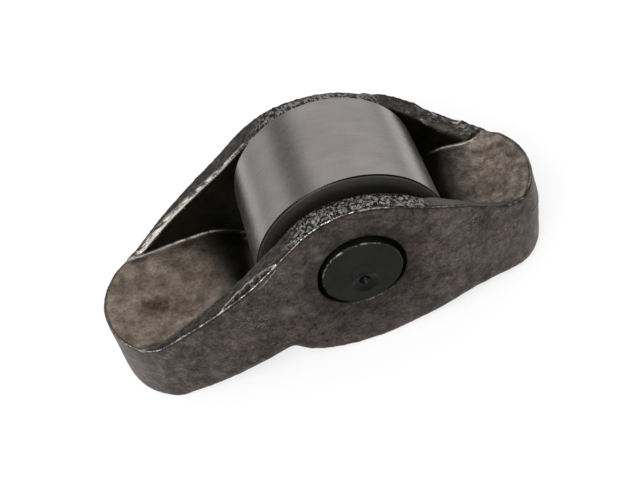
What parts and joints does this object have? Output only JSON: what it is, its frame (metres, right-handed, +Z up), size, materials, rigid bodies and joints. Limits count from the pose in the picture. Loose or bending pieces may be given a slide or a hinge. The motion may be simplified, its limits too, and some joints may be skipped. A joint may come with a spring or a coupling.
{
  "type": "rocker arm",
  "caption": "Forged end-pivot rocker arm with dished ends, a large cam roller on a pressed pin and needle rollers, and a ball socket and valve slot underneath.",
  "frame": {"origin": "centre of the roller and its pin", "axes": "+X from the pivot end to the valve end, +Y along the roller pin, +Z up, the roller's cam side"},
  "size_m": [0.054, 0.022, 0.0239],
  "materials": {
    "forged_body": "dark forged steel, satin, with trimmed edges",
    "roller_steel": "ground hardened steel, fine lines round the roller",
    "pin_steel": "dark smooth hardened steel",
    "needle_steel": "polished steel"
  },
  "bodies": {
    "arm": {"rocker_body": "forged_body", "pin": "pin_steel"},
    "roller": {"roller": "roller_steel"},
    "needles": {"needle_01": "needle_steel", "needle_02": "needle_steel", "needle_03": "needle_steel", "needle_04": "needle_steel", "needle_05": "needle_steel", "needle_06": "needle_steel", "needle_07": "needle_steel", "needle_08": "needle_steel", "needle_09": "needle_steel", "needle_10": "needle_steel", "needle_11": "needle_steel", "needle_12": "needle_steel", "needle_13": "needle_steel", "needle_14": "needle_steel", "needle_15": "needle_steel", "needle_16": "needle_steel", "needle_17": "needle_steel"}
  },
  "joints": [
    {"name": "roller_spin", "type": "hinge", "parent": "arm", "child": "roller", "pos_m": [0, 0, 0], "axis": [0, 1, 0], "continuous": true},
    {"name": "needle_orbit", "type": "hinge", "parent": "arm", "child": "needles", "pos_m": [0, 0, 0], "axis": [0, 1, 0], "continuous": true}
  ],
  "couplings": [
    {"joint": "needle_orbit", "follows": "roller_spin", "ratio": 0.59075}
  ]
}
